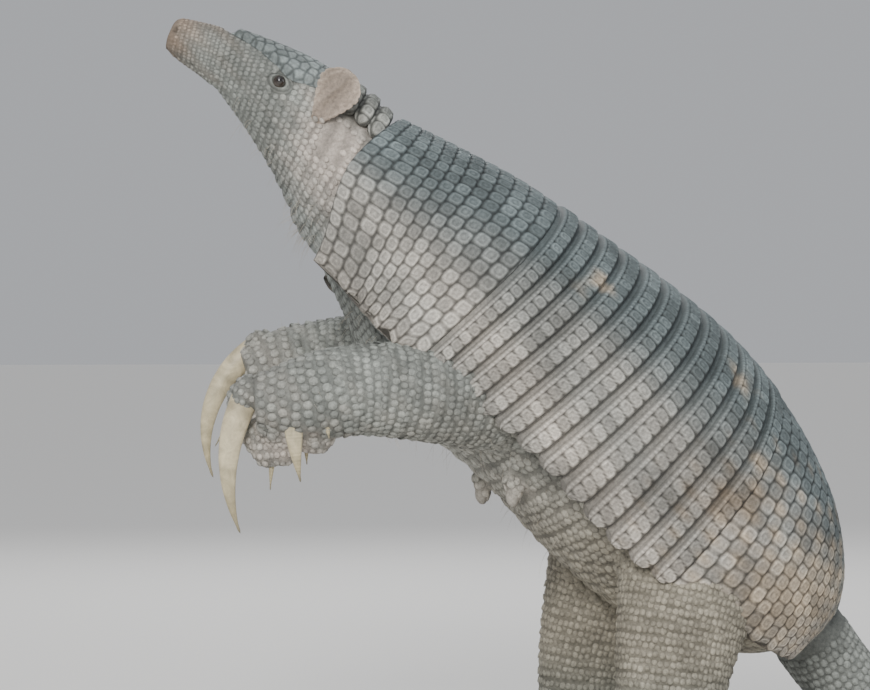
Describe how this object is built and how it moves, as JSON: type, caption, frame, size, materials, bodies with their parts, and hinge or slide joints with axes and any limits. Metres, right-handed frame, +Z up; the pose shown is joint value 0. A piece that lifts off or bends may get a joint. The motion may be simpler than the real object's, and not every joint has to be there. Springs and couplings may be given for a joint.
{
  "type": "armadillo",
  "caption": "Life-size still model of an armadillo reared on its hind legs, with banded shell, scaly hide, large digging claws and tail laid on the ground.",
  "frame": {"origin": "centre of the bottom of the bounding box, on the ground under the soles", "axes": "+Z up, +X from the head towards the tail along the body, -Y to the animal's left side"},
  "size_m": [1.1686, 0.3788, 0.7811],
  "materials": {
    "crown_shield": "horny scutes, dusty and matt",
    "ear_left": "thin wrinkled hide",
    "ear_right": "thin wrinkled hide",
    "eye_left": "moist and glossy",
    "eye_right": "moist and glossy",
    "fore_claw_left_1": "horn, satin with fine growth lines",
    "fore_claw_left_2": "horn, satin with fine growth lines",
    "fore_claw_left_3": "horn, satin with fine growth lines",
    "fore_claw_left_4": "horn, satin with fine growth lines",
    "fore_claw_left_5": "horn, satin with fine growth lines",
    "fore_claw_right_1": "horn, satin with fine growth lines",
    "fore_claw_right_2": "horn, satin with fine growth lines",
    "fore_claw_right_3": "horn, satin with fine growth lines",
    "fore_claw_right_4": "horn, satin with fine growth lines",
    "fore_claw_right_5": "horn, satin with fine growth lines",
    "fore_leg_left": "thick scaly hide, matt",
    "fore_leg_right": "thick scaly hide, matt",
    "head": "thick scaly hide, matt",
    "hind_claw_left_1": "horn, satin with fine growth lines",
    "hind_claw_left_2": "horn, satin with fine growth lines",
    "hind_claw_left_3": "horn, satin with fine growth lines",
    "hind_claw_left_4": "horn, satin with fine growth lines",
    "hind_claw_left_5": "horn, satin with fine growth lines",
    "hind_claw_right_1": "horn, satin with fine growth lines",
    "hind_claw_right_2": "horn, satin with fine growth lines",
    "hind_claw_right_3": "horn, satin with fine growth lines",
    "hind_claw_right_4": "horn, satin with fine growth lines",
    "hind_claw_right_5": "horn, satin with fine growth lines",
    "hind_leg_left": "thick scaly hide, matt",
    "hind_leg_right": "thick scaly hide, matt",
    "hip_shield": "horny scutes, dusty and matt",
    "nape_band_1": "horny scutes, dusty and matt",
    "nape_band_2": "horny scutes, dusty and matt",
    "nape_band_3": "horny scutes, dusty and matt",
    "neck": "thick scaly hide, matt",
    "shell_band_01": "horny scutes, dusty and matt",
    "shell_band_02": "horny scutes, dusty and matt",
    "shell_band_03": "horny scutes, dusty and matt",
    "shell_band_04": "horny scutes, dusty and matt",
    "shell_band_05": "horny scutes, dusty and matt",
    "shell_band_06": "horny scutes, dusty and matt",
    "shell_band_07": "horny scutes, dusty and matt",
    "shell_band_08": "horny scutes, dusty and matt",
    "shell_band_09": "horny scutes, dusty and matt",
    "shell_band_10": "horny scutes, dusty and matt",
    "shell_band_11": "horny scutes, dusty and matt",
    "shell_band_12": "horny scutes, dusty and matt",
    "shoulder_shield": "horny scutes, dusty and matt",
    "tail": "horny scutes, dusty and matt",
    "trunk": "thick scaly hide, matt"
  },
  "bodies": {
    "root": {"crown_shield": "crown_shield", "ear_left": "ear_left", "ear_right": "ear_right", "eye_left": "eye_left", "eye_right": "eye_right", "fore_claw_left_1": "fore_claw_left_1", "fore_claw_left_2": "fore_claw_left_2", "fore_claw_left_3": "fore_claw_left_3", "fore_claw_left_4": "fore_claw_left_4", "fore_claw_left_5": "fore_claw_left_5", "fore_claw_right_1": "fore_claw_right_1", "fore_claw_right_2": "fore_claw_right_2", "fore_claw_right_3": "fore_claw_right_3", "fore_claw_right_4": "fore_claw_right_4", "fore_claw_right_5": "fore_claw_right_5", "fore_leg_left": "fore_leg_left", "fore_leg_right": "fore_leg_right", "head": "head", "hind_claw_left_1": "hind_claw_left_1", "hind_claw_left_2": "hind_claw_left_2", "hind_claw_left_3": "hind_claw_left_3", "hind_claw_left_4": "hind_claw_left_4", "hind_claw_left_5": "hind_claw_left_5", "hind_claw_right_1": "hind_claw_right_1", "hind_claw_right_2": "hind_claw_right_2", "hind_claw_right_3": "hind_claw_right_3", "hind_claw_right_4": "hind_claw_right_4", "hind_claw_right_5": "hind_claw_right_5", "hind_leg_left": "hind_leg_left", "hind_leg_right": "hind_leg_right", "hip_shield": "hip_shield", "nape_band_1": "nape_band_1", "nape_band_2": "nape_band_2", "nape_band_3": "nape_band_3", "neck": "neck", "shell_band_01": "shell_band_01", "shell_band_02": "shell_band_02", "shell_band_03": "shell_band_03", "shell_band_04": "shell_band_04", "shell_band_05": "shell_band_05", "shell_band_06": "shell_band_06", "shell_band_07": "shell_band_07", "shell_band_08": "shell_band_08", "shell_band_09": "shell_band_09", "shell_band_10": "shell_band_10", "shell_band_11": "shell_band_11", "shell_band_12": "shell_band_12", "shoulder_shield": "shoulder_shield", "tail": "tail", "trunk": "trunk"}
  },
  "joints": []
}
